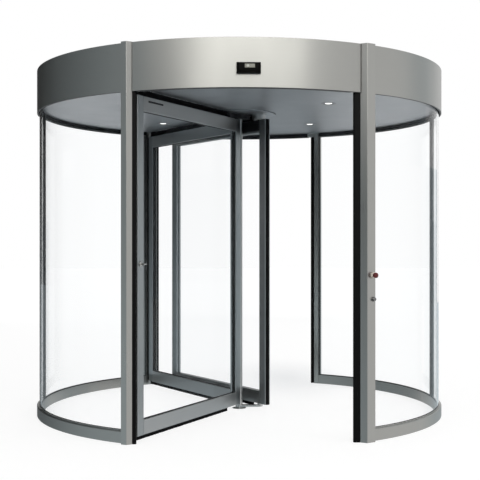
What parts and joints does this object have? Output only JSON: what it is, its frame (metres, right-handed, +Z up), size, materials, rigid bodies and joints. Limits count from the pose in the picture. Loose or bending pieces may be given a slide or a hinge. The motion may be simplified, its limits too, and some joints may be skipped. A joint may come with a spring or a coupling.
{
  "type": "automatic revolving door",
  "caption": "Automatic revolving door with a glazed drum, flat canopy and glazed wings about a centre column, with a wing folded back on its own pivot.",
  "frame": {"origin": "on the floor, on the axis that the wings turn about", "axes": "+Z up, -Y out of the front entrance, +X to the right as seen from the front"},
  "size_m": [3, 3.088, 2.5],
  "materials": {
    "satin_aluminium": "satin",
    "wing_aluminium": "satin",
    "wall_glass": "gloss",
    "wing_glass": "gloss",
    "black_rubber": "matte",
    "black_brush": "matte",
    "ceiling_sheet": "satin",
    "roof_sheet": "matte",
    "hub_sheet": "satin",
    "inner_steel": "matte",
    "head_aluminium": "matte",
    "black_metal": "satin",
    "stainless": "satin",
    "sensor_plastic": "gloss",
    "lamp_trim": "gloss",
    "stop_red": "gloss",
    "stop_collar": "satin",
    "lock_metal": "satin"
  },
  "bodies": {
    "enclosure": {"bearing_housing": "inner_steel", "canopy_ring": "inner_steel", "ceiling": "ceiling_sheet", "downlights": "lamp_trim", "drive_beam": "inner_steel", "fascia_front": "satin_aluminium", "fascia_left": "satin_aluminium", "fascia_rear": "satin_aluminium", "fascia_right": "satin_aluminium", "floor_plate": "stainless", "glass_front_left": "wall_glass", "glass_front_right": "wall_glass", "glass_heads": "head_aluminium", "glass_rear_left": "wall_glass", "glass_rear_right": "wall_glass", "key_switch": "lock_metal", "mullions": "satin_aluminium", "post_front_left": "satin_aluminium", "post_front_right": "satin_aluminium", "post_rear_left": "satin_aluminium", "post_rear_right": "satin_aluminium", "roof": "roof_sheet", "rubber_edges": "black_rubber", "sensors": "sensor_plastic", "sill_left": "satin_aluminium", "sill_right": "satin_aluminium", "stop_base": "stop_collar"},
    "rotor": {"hub": "hub_sheet", "upper_pivot": "stainless", "column": "stainless", "lower_arm": "stainless", "hangers": "black_metal", "wing_lock": "lock_metal", "wing_front_brushes": "black_brush", "wing_front_glass": "wing_glass", "wing_front_rails": "wing_aluminium", "wing_front_stiles": "wing_aluminium", "wing_rear_brushes": "black_brush", "wing_rear_glass": "wing_glass", "wing_rear_rails": "wing_aluminium", "wing_rear_stiles": "wing_aluminium"},
    "folding_wing": {"wing_right_brushes": "black_brush", "wing_right_covers": "black_metal", "wing_right_glass": "wing_glass", "wing_right_rails": "wing_aluminium", "wing_right_stiles": "wing_aluminium"},
    "stop_button": {"stop_button": "stop_red"}
  },
  "joints": [
    {"name": "rotor_spin", "type": "hinge", "parent": "enclosure", "child": "rotor", "pos_m": [0, 0, 0], "axis": [0, 0, 1], "continuous": true},
    {"name": "wing_fold", "type": "hinge", "parent": "rotor", "child": "folding_wing", "pos_m": [0.14999, 0.00183, 0], "axis": [0, 0, 1], "range_deg": [-120.8, 0]},
    {"name": "stop_press", "type": "slide", "parent": "enclosure", "child": "stop_button", "axis": [0.5088, -0.8609, 0], "range_m": [-0.006, 0]}
  ]
}
